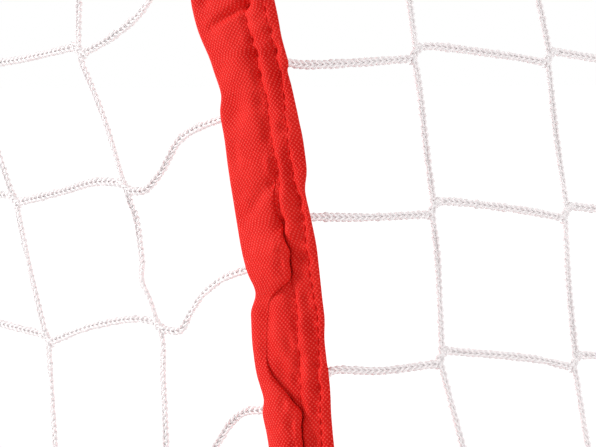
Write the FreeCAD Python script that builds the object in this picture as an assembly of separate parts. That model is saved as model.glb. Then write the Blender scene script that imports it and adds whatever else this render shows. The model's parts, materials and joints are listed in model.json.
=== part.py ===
import FreeCAD, Part
import math
import os

# Knock-down street hockey goal: steel tubes in moulded corner sockets, four net panels,
# fabric sleeves that hang the nets on the tubes, and folded tapes along the rear corners.
# X is the width, +Y runs from the mouth to the back, +Z is up, sizes are in millimetres.
# The origin is on the floor, in the middle of the footprint.

V = FreeCAD.Vector
UP = V(0, 0, 1)
SIDES = ((-1, "left"), (1, "right"))

# Goal mouth and depths
opening_width = 711.0
opening_height = 508.0
base_depth = 305.0
shelf_depth = 203.0
rear_inset = 92.5

# Steel tubes
tube_diameter = 22.0
tube_wall = 1.5
support_diameter = 16.0
support_wall = 1.2

# Moulded eight-sided corner sockets and tees
socket_wall = 3.0
socket_fit = 0.3
socket_reach = 40.0
socket_chamfer = 1.2
tube_setback = 17.0
tee_length = 44.0

# Rubber feet
foot_height = 5.0
foot_chamfer = 1.5
foot_stem_width = 8.0
foot_stem_length = 8.0
foot_fit = 0.2

# Knotless netting
mesh_pitch = 45.2
cord_width = 3.0
cord_thickness = 3.0
net_fit = 0.3
back_edge_cell = 47.0
side_first_column = 20.0
side_post_cell = 27.5
side_row_drop = 14.0
selvedge_width = 8.0

# Fabric sleeves and folded seam tapes
cloth_thickness = 1.2
sleeve_fit = 0.4
sleeve_end_gap = 3.0
net_grip = 17.0
tape_width = 24.5
tape_overhang = 5.0
tape_end_gap = 2.0
tape_fold_swell = 3.0
tape_width_wave = 1.5
tape_wave_length = 130.0
tape_section_step = 44.0

# Sizes that follow from the ones above
tube_radius = tube_diameter / 2
support_radius = support_diameter / 2
bore_radius = tube_radius + socket_fit
socket_half = bore_radius + socket_wall
socket_corner = socket_half / math.cos(math.pi / 8)
branch_bore_radius = support_radius + socket_fit
branch_half = branch_bore_radius + socket_wall
sleeve_inner = tube_radius + sleeve_fit
sleeve_outer = sleeve_inner + cloth_thickness
net_half = cord_thickness / 2
net_offset = sleeve_inner - net_fit - net_half
net_edge = math.sqrt(socket_corner ** 2 - (net_offset - net_half) ** 2) + 2 * net_fit
flange_reach = net_edge + net_grip
hole_edge = net_edge + selvedge_width
inner_cloth_top = net_offset - net_half - net_fit
support_inset = branch_half - inner_cloth_top + cloth_thickness + net_fit

front_y = -base_depth / 2
post_x = opening_width / 2 + tube_radius
corner_x = opening_width / 2 - rear_inset
base_z = foot_height + socket_half
top_z = opening_height + tube_radius
shelf_x = post_x + (corner_x - post_x) * shelf_depth / base_depth


def frame_points(side):
    """Meeting points of the tube axes at one end of the goal."""
    return {
        "front_base": V(side * post_x, front_y, base_z),
        "front_top": V(side * post_x, front_y, top_z),
        "rear_base": V(side * corner_x, front_y + base_depth, base_z),
        "rear_top": V(side * shelf_x, front_y + shelf_depth, top_z),
    }


POINTS = {side: frame_points(side) for side, _ in SIDES}


def unit(vector):
    return vector * (1.0 / vector.Length)


def side_plane(side):
    """Direction from post to back, and outward normal, of one side panel."""
    points = POINTS[side]
    along = unit(points["rear_base"] - points["front_base"])
    return along, unit(V(side * along.y, -side * along.x, 0))


def back_plane():
    """Upward direction and outward normal of the sloping back panel."""
    rise = V(0, shelf_depth - base_depth, top_z - base_z)
    return unit(rise), unit(V(0, rise.z, -rise.y))


def prism(corners, sweep):
    return Part.Face(Part.makePolygon(corners + corners[:1])).extrude(sweep)


def tube(start, end, radius, wall):
    axis = end - start
    outer = Part.makeCylinder(radius, axis.Length, start, axis)
    return outer.cut(Part.makeCylinder(radius - wall, axis.Length, start, axis))


# Tubes

def frame_tube(start, end):
    """Tube pushed into the fittings at both ends of one side of the frame."""
    axis = unit(end - start)
    return tube(start + axis * tube_setback, end - axis * tube_setback, tube_radius, tube_wall)


# Fittings

def octagon_bar(start, axis, flat, length, half):
    """Eight-sided bar with one of its flats facing the direction flat."""
    across = axis.cross(flat)
    corner = half / math.cos(math.pi / 8)
    ring = []
    for i in range(8):
        angle = math.pi / 8 + i * math.pi / 4
        ring.append(start + flat * (corner * math.cos(angle)) + across * (corner * math.sin(angle)))
    return prism(ring, axis * length)


def chamfer_end(bar, place, axis, size):
    """Chamfer round the flat end of a bar that lies at one place along its axis."""
    rim = [edge for edge in bar.Edges if all(abs((v.Point - place).dot(axis)) < 1e-3 for v in edge.Vertexes)]
    return bar.makeChamfer(size, rim)


def socket_bar(centre, axis, flat, half):
    bar = octagon_bar(centre, axis, flat, socket_reach, half)
    return chamfer_end(bar, centre + axis * socket_reach, axis, socket_chamfer)


def hub(centre, flat):
    """Faceted ball that the sockets of a fitting grow from."""
    ball = octagon_bar(centre - UP * socket_half, UP, flat, 2 * socket_half, socket_half)
    for axis in (flat, UP.cross(flat)):
        ball = ball.common(octagon_bar(centre - axis * socket_corner, axis, UP, 2 * socket_corner, socket_half))
    return ball


def socket_fitting(centre, flat, directions, on_floor):
    """Fitting with one blind socket along each direction and, on the floor, a seat for a foot."""
    body = hub(centre, flat)
    for direction in directions:
        side_flat = UP if abs(direction.z) < 0.5 else flat
        body = body.fuse(socket_bar(centre, direction, side_flat, socket_half))
    if on_floor:
        seat = foot_centre(centre) + UP * foot_height
        body = body.fuse(octagon_bar(seat, UP, flat, base_z - foot_height, socket_half))
        stem_hole = foot_stem_length + foot_fit
        body = body.cut(octagon_bar(seat, UP, flat, stem_hole, foot_stem_width / 2 + foot_fit))
    for direction in directions:
        stop = centre + direction * (tube_setback - socket_fit)
        body = body.cut(Part.makeCylinder(bore_radius, socket_reach, stop, direction))
    return body.removeSplitter()


def foot_centre(point):
    return V(point.x, point.y, 0)


def foot(point, flat):
    """Eight-sided rubber pad with a stem that pushes up into its fitting."""
    base = foot_centre(point)
    pad = chamfer_end(octagon_bar(base, UP, flat, foot_height, socket_half), base, UP, foot_chamfer)
    stem = octagon_bar(base + UP * foot_height, UP, flat, foot_stem_length, foot_stem_width / 2)
    return pad.fuse(stem).removeSplitter()


def support_axis():
    """Ends of the support's axis, level with the axes of the two rear tubes."""
    _, outward = back_plane()
    shift = outward * -support_inset
    low = V(0, front_y + base_depth, base_z) + shift
    high = V(0, front_y + shelf_depth, top_z) + shift
    return low, high


def support_tee(tube_centre, branch_start, branch_direction):
    """Collar round a rear tube with a blind branch for the support."""
    half = tee_length / 2
    across = V(1, 0, 0)
    collar = octagon_bar(tube_centre - across * half, across, UP, tee_length, socket_half)
    for end in (-1, 1):
        collar = chamfer_end(collar, tube_centre + across * (half * end), across, socket_chamfer)
    front = unit(branch_direction.cross(across))
    body = collar.fuse(socket_bar(branch_start, branch_direction, front, branch_half))
    body = body.cut(Part.makeCylinder(bore_radius, tee_length, tube_centre - across * half, across))
    pocket = branch_start + branch_direction * (tube_setback - socket_fit)
    body = body.cut(Part.makeCylinder(branch_bore_radius, socket_reach, pocket, branch_direction))
    return body.removeSplitter()


# Fabric sleeves

def flange(start, sweep, along, out):
    """Two layers of cloth that leave a sleeve side by side and hold the edge of a net."""
    pocket_middle = sleeve_inner + cloth_thickness / 2
    inner_root = pocket_middle * math.sqrt(2) - inner_cloth_top + cloth_thickness / 2
    layers = ((0, sleeve_inner, sleeve_outer),
              (inner_root, inner_cloth_top - cloth_thickness, inner_cloth_top))
    parts = []
    for root, low, high in layers:
        corners = [start + along * a + out * b for a, b in
                   ((root, low), (flange_reach, low), (flange_reach, high), (root, high))]
        parts.append(prism(corners, sweep))
    return parts


def sleeve(start, end, flanges):
    """Pocket over a tube, flattened by its folds, with one flange for each net that hangs on it."""
    axis = unit(end - start)
    inset = axis * (socket_reach + sleeve_end_gap)
    first = start + inset
    sweep = end - inset - first
    flat = flanges[0][1]
    body = octagon_bar(first, axis, flat, sweep.Length, sleeve_outer)
    for along, out in flanges:
        for layer in flange(first, sweep, along, out):
            body = body.fuse(layer)
    return body.cut(octagon_bar(first, axis, flat, sweep.Length, sleeve_inner)).removeSplitter()


def tee_window(body, tube_centre):
    """Opens a sleeve round a tee and leaves its flanges whole."""
    length = tee_length + 2 * sleeve_end_gap
    across = V(1, 0, 0)
    start = tube_centre - across * (length / 2)
    return body.cut(octagon_bar(start, across, UP, length, socket_corner + net_fit))


# Netting

def cross_point(a, b, c, d):
    """Meeting point of line a-b with line c-d, all in one plane."""
    first = b - a
    second = d - c
    normal = first.cross(second)
    return a + first * ((c - a).cross(second).dot(normal) / normal.dot(normal))


def inset_quad(corners, insets):
    """Four-sided outline with each side moved inward by its own distance."""
    middle = (corners[0] + corners[1] + corners[2] + corners[3]) * 0.25
    normal = (corners[1] - corners[0]).cross(corners[3] - corners[0])
    lines = []
    for i in range(4):
        a = corners[i]
        b = corners[(i + 1) % 4]
        inward = unit(normal.cross(b - a))
        if inward.dot(middle - a) < 0:
            inward = inward * -1
        lines.append((a + inward * insets[i], b + inward * insets[i]))
    return [cross_point(*lines[i - 1], *lines[i]) for i in range(4)]


def blend(corners, u, v):
    low = corners[0] + (corners[1] - corners[0]) * u
    high = corners[3] + (corners[2] - corners[3]) * u
    return low + (high - low) * v


def even_lines(length, first, last, pitch):
    """Evenly spaced lines from first to last, about one pitch apart, as shares of length."""
    count = max(1, round((last - first) / pitch))
    return [(first + (last - first) * i / count) / length for i in range(count + 1)]


def net_panel(corners, outline_insets, columns, rows, normal):
    """Flat panel cut from one face, with one gap for every mesh between its cords."""
    cord_half = cord_width / 2
    wires = [Part.makePolygon(ring + ring[:1]) for ring in [inset_quad(corners, outline_insets)]]
    for left, right in zip(columns, columns[1:]):
        for low, high in zip(rows, rows[1:]):
            cell = [blend(corners, u, v) for u, v in
                    ((left, low), (right, low), (right, high), (left, high))]
            gap = inset_quad(cell, [cord_half] * 4)
            wires.append(Part.makePolygon(gap + gap[:1]))
    panel = Part.Face(wires, "Part::FaceMakerCheese").extrude(normal * cord_thickness)
    panel.translate(normal * -net_half)
    return panel


def corner_line(side):
    """Line where the side net and the back net would meet, from its low end to its high end."""
    _, side_out = side_plane(side)
    _, back_out = back_plane()
    ends = []
    for name in ("rear_base", "rear_top"):
        point = POINTS[side][name]
        y = point.y + net_offset / back_out.y
        x = point.x + (net_offset - side_out.y * (y - point.y)) / side_out.x
        ends.append(V(x, y, point.z))
    return ends


def back_netting():
    low_left, high_left = corner_line(-1)
    low_right, high_right = corner_line(1)
    corners = [low_left, low_right, high_right, high_left]
    width = ((low_right - low_left).Length + (high_right - high_left).Length) / 2
    height = (high_left - low_left).Length
    up, outward = back_plane()
    lean = net_offset * -up.y / outward.y
    edge_top = lip_centre() - net_half - net_fit - net_half * abs(math.cos(corner_angle()))
    overlap = edge_top / math.sin(corner_angle())
    columns = [selvedge_width / width] + even_lines(width, back_edge_cell, width - back_edge_cell, mesh_pitch)
    columns = columns + [1 - selvedge_width / width]
    rows = even_lines(height, 0, height, mesh_pitch)
    rows = [(hole_edge + lean) / height] + rows[1:-1] + [1 - (hole_edge - lean) / height]
    insets = [net_edge + lean, -overlap, net_edge - lean, -overlap]
    panel = net_panel(corners, insets, columns, rows, outward)
    return Part.makeCompound([panel] + [net_lip(side) for side, _ in SIDES])


def side_netting(side):
    points = POINTS[side]
    _, outward = side_plane(side)
    low_corner, high_corner = corner_line(side)
    shift = outward * net_offset
    corners = [points["front_base"] + shift, low_corner, high_corner, points["front_top"] + shift]
    width = ((low_corner - corners[0]).Length + (high_corner - corners[3]).Length) / 2
    height = (high_corner - low_corner).Length
    columns = even_lines(width, side_post_cell, width - side_first_column, mesh_pitch)
    if side_post_cell - hole_edge > 2 * cord_width:
        columns = [hole_edge / width] + columns
    count = int((height - side_row_drop - hole_edge) / mesh_pitch)
    rows = [1 - (side_row_drop + mesh_pitch * i) / height for i in range(count, 0, -1)]
    rows = [hole_edge / height] + rows + [1 - hole_edge / height]
    seam_clearance = net_half / math.sin(corner_angle()) * 2 * math.cos(corner_angle() / 2) ** 2 + 4 * net_fit
    return net_panel(corners, [net_edge, seam_clearance, net_edge, net_edge], columns, rows, outward)


def top_netting():
    shift = UP * net_offset
    corners = [POINTS[-1]["front_top"] + shift, POINTS[1]["front_top"] + shift,
               POINTS[1]["rear_top"] + shift, POINTS[-1]["rear_top"] + shift]
    width = post_x + shelf_x
    columns = even_lines(width, hole_edge, width - hole_edge, mesh_pitch)
    rows = even_lines(shelf_depth, hole_edge, shelf_depth - hole_edge, mesh_pitch)
    return net_panel(corners, [net_edge] * 4, columns, rows, UP)


# Rear corner seams

def corner_angle():
    """Angle inside the goal between the side net and the back net."""
    _, side_out = side_plane(1)
    _, back_out = back_plane()
    return math.pi - side_out.getAngle(back_out)


def lip_centre():
    """Height above the side net of the back net's edge, between the tape's two layers."""
    return net_half + net_fit + cloth_thickness + net_fit + net_half


def seam_frame(side):
    """Low end, upward direction, direction across the tape and outward normal of one seam."""
    low, high = corner_line(side)
    run = unit(high - low)
    _, outward = side_plane(side)
    across = unit(run.cross(outward))
    if across.y > 0:
        across = across * -1
    start = socket_half + tape_end_gap
    length = (high - low).Length - 2 * start
    return low + run * start, run, across, outward, length


def net_lip(side):
    """Edge strip of the back net, turned round the corner and into the tape."""
    low, run, across, outward, length = seam_frame(side)
    centre = lip_centre()
    root = net_half / 5
    tip = tape_width - 2 * cloth_thickness - 2 * net_half - 2 * net_fit
    corners = [low + across * a + outward * b for a, b in
               ((root, centre - net_half), (tip, centre - net_half),
                (tip, centre + net_half), (root, centre + net_half))]
    return prism(corners, run * length)


def tape_section(origin, across, outward, width, swell):
    """Folded tape seen from its end: outer layer, rounded fold and inner layer."""
    gap = net_half + net_fit
    centre = lip_centre()
    outer = centre + gap + cloth_thickness
    inner = centre - gap - cloth_thickness
    bend = width - gap - cloth_thickness
    inner_start = 2 * net_half + net_fit
    crest = bend * 0.55
    profile = ((-tape_overhang, outer), (crest, outer + swell), (bend, outer),
               (width, centre + gap / 2), (width, centre - gap / 2),
               (bend, inner), (inner_start, inner), (inner_start, inner + cloth_thickness),
               (bend, inner + cloth_thickness), (width - cloth_thickness, centre),
               (bend, outer - cloth_thickness), (crest, outer + swell - cloth_thickness),
               (-tape_overhang, outer - cloth_thickness))
    return [origin + across * a + outward * b for a, b in profile]


def facet(*corners):
    return Part.Face(Part.makePolygon(list(corners) + [corners[0]]))


def seam_tape(side):
    """Tape folded over the net edges, with its outer layer rolling up and down along the seam."""
    low, run, across, outward, length = seam_frame(side)
    count = max(2, round(length / tape_section_step))
    sections = []
    for i in range(count + 1):
        along = length * i / count
        phase = 2 * math.pi * along / tape_wave_length
        swell = tape_fold_swell * max(0.0, math.sin(phase)) ** 2
        width = tape_width + tape_width_wave * math.sin(phase * 0.61)
        sections.append(tape_section(low + run * along, across, outward, width, swell))
    faces = [facet(*sections[0]), facet(*sections[-1])]
    for near, far in zip(sections, sections[1:]):
        for i in range(len(near)):
            faces.append(facet(near[i - 1], near[i], far[i]))
            faces.append(facet(near[i - 1], far[i], far[i - 1]))
    body = Part.makeSolid(Part.makeShell(faces))
    if body.Volume < 0:
        body.reverse()
    return body


# Assembly

def build():
    nodes = {}
    feet = []
    back_up, back_out = back_plane()
    behind = V(0, 1, 0)
    ahead = V(0, -1, 0)
    down = V(0, 0, -1)

    for side, name in SIDES:
        points = POINTS[side]
        along, side_out = side_plane(side)
        to_middle = V(-side, 0, 0)

        nodes[name + "_post"] = frame_tube(points["front_base"], points["front_top"])
        nodes[name + "_base_rail"] = frame_tube(points["front_base"], points["rear_base"])
        nodes[name + "_top_arm"] = frame_tube(points["front_top"], points["rear_top"])

        fittings = (("_top_corner", "front_top", (to_middle, down, along)),
                    ("_foot_corner", "front_base", (UP, along)),
                    ("_rear_base_elbow", "rear_base", (along * -1, to_middle)),
                    ("_rear_top_elbow", "rear_top", (along * -1, to_middle)))
        for suffix, place, directions in fittings:
            on_floor = place.endswith("_base")
            nodes[name + suffix] = socket_fitting(points[place], side_out, directions, on_floor)
            if on_floor:
                feet.append(foot(points[place], side_out))

        inward = UP.cross(along) * side
        nodes[name + "_post_sleeve"] = sleeve(points["front_base"], points["front_top"], ((along, side_out),))
        nodes["base_" + name + "_sleeve"] = sleeve(points["front_base"], points["rear_base"], ((UP, side_out),))
        nodes["top_" + name + "_sleeve"] = sleeve(points["front_top"], points["rear_top"],
                                                  ((down, side_out), (inward, UP)))
        nodes[name + "_netting"] = side_netting(side)
        nodes[name + "_rear_seam"] = seam_tape(side)

    left = POINTS[-1]
    right = POINTS[1]
    nodes["crossbar"] = frame_tube(left["front_top"], right["front_top"])
    nodes["base_rear_tube"] = frame_tube(left["rear_base"], right["rear_base"])
    nodes["top_rear_tube"] = frame_tube(left["rear_top"], right["rear_top"])

    low, high = support_axis()
    support_run = unit(high - low)
    nodes["back_support"] = tube(low + support_run * tube_setback, high - support_run * tube_setback,
                                 support_radius, support_wall)
    base_middle = V(0, front_y + base_depth, base_z)
    top_middle = V(0, front_y + shelf_depth, top_z)
    nodes["support_base_tee"] = support_tee(base_middle, low, support_run)
    nodes["support_top_tee"] = support_tee(top_middle, high, support_run * -1)

    nodes["crossbar_sleeve"] = sleeve(left["front_top"], right["front_top"], ((behind, UP),))
    nodes["base_rear_sleeve"] = tee_window(
        sleeve(left["rear_base"], right["rear_base"], ((back_up, back_out),)), base_middle)
    nodes["top_rear_sleeve"] = tee_window(
        sleeve(left["rear_top"], right["rear_top"], ((back_up * -1, back_out), (ahead, UP))), top_middle)

    nodes["back_netting"] = back_netting()
    nodes["top_netting"] = top_netting()
    nodes["rubber_feet"] = Part.makeCompound(feet)
    return nodes


os.makedirs("parts", exist_ok=True)
for node, shape in build().items():
    shape.exportStep("parts/" + node + ".step")
    print(node, "solids", len(shape.Solids), "valid", shape.isValid(), "volume", round(shape.Volume))
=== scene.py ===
import bpy
import json
import math
import numpy as np
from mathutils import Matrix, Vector
from types import SimpleNamespace


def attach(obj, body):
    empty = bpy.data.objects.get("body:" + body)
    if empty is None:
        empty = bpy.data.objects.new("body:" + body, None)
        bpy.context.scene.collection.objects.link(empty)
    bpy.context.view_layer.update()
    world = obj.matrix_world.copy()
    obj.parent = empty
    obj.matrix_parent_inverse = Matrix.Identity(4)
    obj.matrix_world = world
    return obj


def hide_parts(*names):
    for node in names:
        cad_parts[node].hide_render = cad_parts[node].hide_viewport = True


# Looks of a small street hockey goal, in the frame of its solids.
# Geometry is worked out in millimetres and written in metres.

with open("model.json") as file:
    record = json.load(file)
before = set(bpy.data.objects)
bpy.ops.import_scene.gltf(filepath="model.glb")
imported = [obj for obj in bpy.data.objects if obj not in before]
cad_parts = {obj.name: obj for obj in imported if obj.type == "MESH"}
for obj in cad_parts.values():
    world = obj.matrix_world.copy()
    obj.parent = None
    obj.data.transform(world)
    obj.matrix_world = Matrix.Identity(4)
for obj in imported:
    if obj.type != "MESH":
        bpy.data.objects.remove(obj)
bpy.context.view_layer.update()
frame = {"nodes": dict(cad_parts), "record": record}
MM = 0.001

# Sizes shared with the solids, in millimetres

opening_width = 711.0
opening_height = 508.0
base_depth = 305.0
shelf_depth = 203.0
rear_inset = 92.5
tube_radius = 11.0
socket_half = 14.3
foot_height = 5.0
net_offset = 9.6
mesh_pitch = 45.2
back_edge_cell = 47.0
side_first_column = 20.0
side_post_cell = 27.5
side_row_drop = 14.0
hole_edge = 21.79
net_edge = 13.79
tape_end = 16.3
sleeve_radius = 12.1
sleeve_inset = 43.0
flange_outer = 11.9
flange_inner = 7.4
flange_reach = 30.79
tee_window_half = 25.0
tee_clear = 15.9

front_y = -base_depth / 2
post_x = opening_width / 2 + tube_radius
corner_x = opening_width / 2 - rear_inset
base_z = foot_height + socket_half
top_z = opening_height + tube_radius
shelf_x = post_x + (corner_x - post_x) * shelf_depth / base_depth


def vec(*xyz):
    return np.array(xyz, float)


def unit(v):
    v = np.asarray(v, float)
    return v / np.linalg.norm(v)


UP = vec(0, 0, 1)
BACK = vec(0, 1, 0)


def frame_points(side):
    return {
        "front_base": vec(side * post_x, front_y, base_z),
        "front_top": vec(side * post_x, front_y, top_z),
        "rear_base": vec(side * corner_x, front_y + base_depth, base_z),
        "rear_top": vec(side * shelf_x, front_y + shelf_depth, top_z),
    }


POINTS = {side: frame_points(side) for side in (-1, 1)}


def side_plane(side):
    """Direction to the rear along a side, and its outward normal."""
    points = POINTS[side]
    along = unit(points["rear_base"] - points["front_base"])
    return along, unit(vec(side * along[1], -side * along[0], 0))


def back_plane():
    """Direction up the sloping back, and its outward normal."""
    rise = vec(0, shelf_depth - base_depth, top_z - base_z)
    return unit(rise), unit(vec(0, rise[2], -rise[1]))


def corner_line(side):
    """Low and high end of the line where the side net meets the back net."""
    _, side_out = side_plane(side)
    _, back_out = back_plane()
    ends = []
    for name in ("rear_base", "rear_top"):
        point = POINTS[side][name]
        y = point[1] + net_offset / back_out[1]
        x = point[0] + (net_offset - side_out[1] * (y - point[1])) / side_out[0]
        ends.append(vec(x, y, point[2]))
    return ends


def seam_frame(side):
    """High end of the corner line, the directions down it, across the tape and outward, and its length."""
    low, high = corner_line(side)
    down = unit(low - high)
    _, outward = side_plane(side)
    across = unit(np.cross(down, outward))
    if across[1] > 0:
        across = -across
    return high, down, across, outward, np.linalg.norm(low - high)


hero_top, hero_down, hero_across, hero_out, hero_length = seam_frame(1)

# Camera, with the frame in pixels of the photograph

FRAME_W, FRAME_H = 596, 447
FOCAL_PIXELS = 2246.0
SENSOR_WIDTH = 36.0
CAMERA_AZIMUTH = 30.0
CAMERA_ELEVATION = 4.0
CAMERA_DISTANCE = 640.0
# Pixel where one row of the back net leaves the tape, and how far down the seam that is
AIM_PIXEL = (308.0, 217.0)
AIM_DEPTH = 232.35

azimuth = math.radians(CAMERA_AZIMUTH)
elevation = math.radians(CAMERA_ELEVATION)
level_look = math.cos(elevation)
look = vec(-math.sin(azimuth) * level_look, -math.cos(azimuth) * level_look, -math.sin(elevation))
picture_right = unit(np.cross(look, UP))
picture_up = np.cross(picture_right, look)


def pixel_ray(x, y):
    right = picture_right * ((x - FRAME_W / 2) / FOCAL_PIXELS)
    return look + right - picture_up * ((y - FRAME_H / 2) / FOCAL_PIXELS)


eye = hero_top + hero_down * AIM_DEPTH - pixel_ray(*AIM_PIXEL) * CAMERA_DISTANCE


def on_plane(x, y, point, normal):
    """Point of a plane that shows at one pixel of the photograph."""
    ray = pixel_ray(x, y)
    return eye + ray * (np.dot(point - eye, normal) / np.dot(ray, normal))


def pictured(point, side, margin=70):
    """Whether a point of the right side or the back is in the frame, or within the margin round it."""
    if side != 1:
        return False
    rel = np.asarray(point) - eye
    depth = rel @ look
    x = FRAME_W / 2 + FOCAL_PIXELS * (rel @ picture_right) / depth
    y = FRAME_H / 2 - FOCAL_PIXELS * (rel @ picture_up) / depth
    return -margin < x < FRAME_W + margin and -margin < y < FRAME_H + margin


camera_data = bpy.data.cameras.new("camera")
camera_data.sensor_fit = "HORIZONTAL"
camera_data.sensor_width = SENSOR_WIDTH
camera_data.lens = SENSOR_WIDTH * FOCAL_PIXELS / FRAME_W
camera_data.clip_start = 0.01
camera_data.clip_end = 100.0
camera = bpy.data.objects.new("camera", camera_data)
bpy.context.scene.collection.objects.link(camera)
camera.location = Vector(eye * MM)
camera.rotation_euler = Vector(look).to_track_quat("-Z", "Y").to_euler()
bpy.context.scene.camera = camera
bpy.context.scene.view_settings.view_transform = "Standard"

# Shader helpers

WHITE = (1, 1, 1, 1)


def feed(tree, socket, value):
    """Links an output to an input socket, or sets a plain value on it."""
    if isinstance(value, bpy.types.NodeSocket):
        tree.links.new(value, socket)
    else:
        socket.default_value = value


def set_inputs(tree, made, **values):
    """Feeds inputs by name, with underscores for the spaces."""
    for key, value in values.items():
        feed(tree, made.inputs[key.replace("_", " ")], value)


def add_node(tree, kind, **settings):
    """Shader node. Lower-case settings are its properties, the others its inputs."""
    made = tree.nodes.new("ShaderNode" + kind)
    for key, value in settings.items():
        if key[0].islower():
            setattr(made, key, value)
        else:
            set_inputs(tree, made, **{key: value})
    return made


def maths(tree, operation, *values):
    made = add_node(tree, "Math", operation=operation)
    for socket, value in zip(made.inputs, values):
        feed(tree, socket, value)
    return made.outputs[0]


def mix_colour(tree, factor, first, second):
    made = add_node(tree, "Mix", data_type="RGBA")
    shown = {socket.name: socket for socket in made.inputs if socket.enabled}
    for name, value in (("Factor", factor), ("A", first), ("B", second)):
        feed(tree, shown[name], value)
    return [socket for socket in made.outputs if socket.enabled][0]


def noise(tree, place, scale, detail, roughness=0.5):
    made = add_node(tree, "TexNoise", Vector=place, Scale=scale, Detail=detail, Roughness=roughness)
    return made.outputs["Fac"]


def spread(tree, value, low, high, to_low=0.0, to_high=1.0):
    """Value moved from one range to another, and kept inside it."""
    return add_node(tree, "MapRange", Value=value, From_Min=low, From_Max=high,
                    To_Min=to_low, To_Max=to_high).outputs[0]


def bump(tree, height, strength, distance):
    return add_node(tree, "Bump", Height=height, Strength=strength, Distance=distance).outputs[0]


def object_place(tree):
    return add_node(tree, "TexCoord").outputs["Object"]


def srgb(r, g, b):
    def line(c):
        c = c / 255
        return c / 12.92 if c <= 0.04045 else ((c + 0.055) / 1.055) ** 2.4
    return (line(r), line(g), line(b), 1.0)


def new_material(name):
    material = bpy.data.materials.new(name)
    material.use_nodes = True
    tree = material.node_tree
    return material, tree, tree.nodes["Principled BSDF"]


# Floor, world and lamps

ROOM_STRENGTH = 0.62
FLOOR_GREY = 0.86
FLOOR_HALF = 30
# The lamps light the floor near the object. Further off, up to the reach in metres, a glow takes over.
GLOW_NEAR = 0.09
GLOW_FAR = 0.52
GLOW_REACH = 4.0
LAMPS = {
    # place, target, size across and watts
    "key": ((2.2, -1.35, 1.25), (0.25, 0.1, 0.28), 0.7, 47),
    "fill": ((-1.6, 2.6, 1.5), (0.0, 0.0, 0.25), 2.0, 36),
    "front": ((0.0, -2.6, 1.9), (0.0, 0.0, 0.25), 2.0, 14),
}


def cleared_tree(owner):
    owner.use_nodes = True
    owner.node_tree.nodes.clear()
    return owner.node_tree


def split_by_rays(tree, output_kind, lighting, shown):
    """Camera, mirror and glass rays meet the shown shader, all others the lighting one."""
    rays = add_node(tree, "LightPath").outputs
    direct = maths(tree, "MAXIMUM", rays["Is Camera Ray"], rays["Is Glossy Ray"])
    direct = maths(tree, "MAXIMUM", direct, rays["Is Transmission Ray"])
    mix = add_node(tree, "MixShader", Fac=direct)
    tree.links.new(lighting.outputs[0], mix.inputs[1])
    tree.links.new(shown.outputs[0], mix.inputs[2])
    add_node(tree, output_kind, Surface=mix.outputs[0])


world = bpy.data.worlds.new("studio")
bpy.context.scene.world = world
tree = cleared_tree(world)
room = add_node(tree, "Background", Color=WHITE, Strength=ROOM_STRENGTH)
backdrop = add_node(tree, "Background", Color=WHITE, Strength=1.0)
split_by_rays(tree, "OutputWorld", room, backdrop)

floor_material = bpy.data.materials.new("floor_white")
tree = cleared_tree(floor_material)
plain = add_node(tree, "BsdfDiffuse", Color=(FLOOR_GREY, FLOOR_GREY, FLOOR_GREY, 1))
place = add_node(tree, "NewGeometry").outputs["Position"]
away = add_node(tree, "VectorMath", operation="LENGTH", Vector=place).outputs["Value"]
rising = spread(tree, away, 0.0, GLOW_REACH, GLOW_NEAR, GLOW_FAR)
glow = add_node(tree, "Emission", Color=WHITE, Strength=rising)
lifted = add_node(tree, "AddShader")
tree.links.new(plain.outputs[0], lifted.inputs[0])
tree.links.new(glow.outputs[0], lifted.inputs[1])
split_by_rays(tree, "OutputMaterial", plain, lifted)

floor_mesh = bpy.data.meshes.new("floor")
floor_corners = [(x * FLOOR_HALF, y * FLOOR_HALF, 0) for x, y in ((-1, -1), (1, -1), (1, 1), (-1, 1))]
floor_mesh.from_pydata(floor_corners, [], [(0, 1, 2, 3)])
floor_mesh.materials.append(floor_material)
floor = bpy.data.objects.new("floor", floor_mesh)
bpy.context.scene.collection.objects.link(floor)

for name, (place, target, size, watts) in LAMPS.items():
    lamp = bpy.data.lights.new(name, "AREA")
    lamp.shape = "DISK"
    lamp.size = size
    lamp.energy = watts
    holder = bpy.data.objects.new(name, lamp)
    bpy.context.scene.collection.objects.link(holder)
    holder.location = Vector(place)
    holder.rotation_euler = (Vector(target) - Vector(place)).to_track_quat("-Z", "Y").to_euler()


# Materials

THREAD_PITCH = 0.65
THREAD_WANDER = 0.6
CORD_SHADE = 0.12   # how much the cords differ from each other
WORN_SHARE = 0.45


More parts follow.
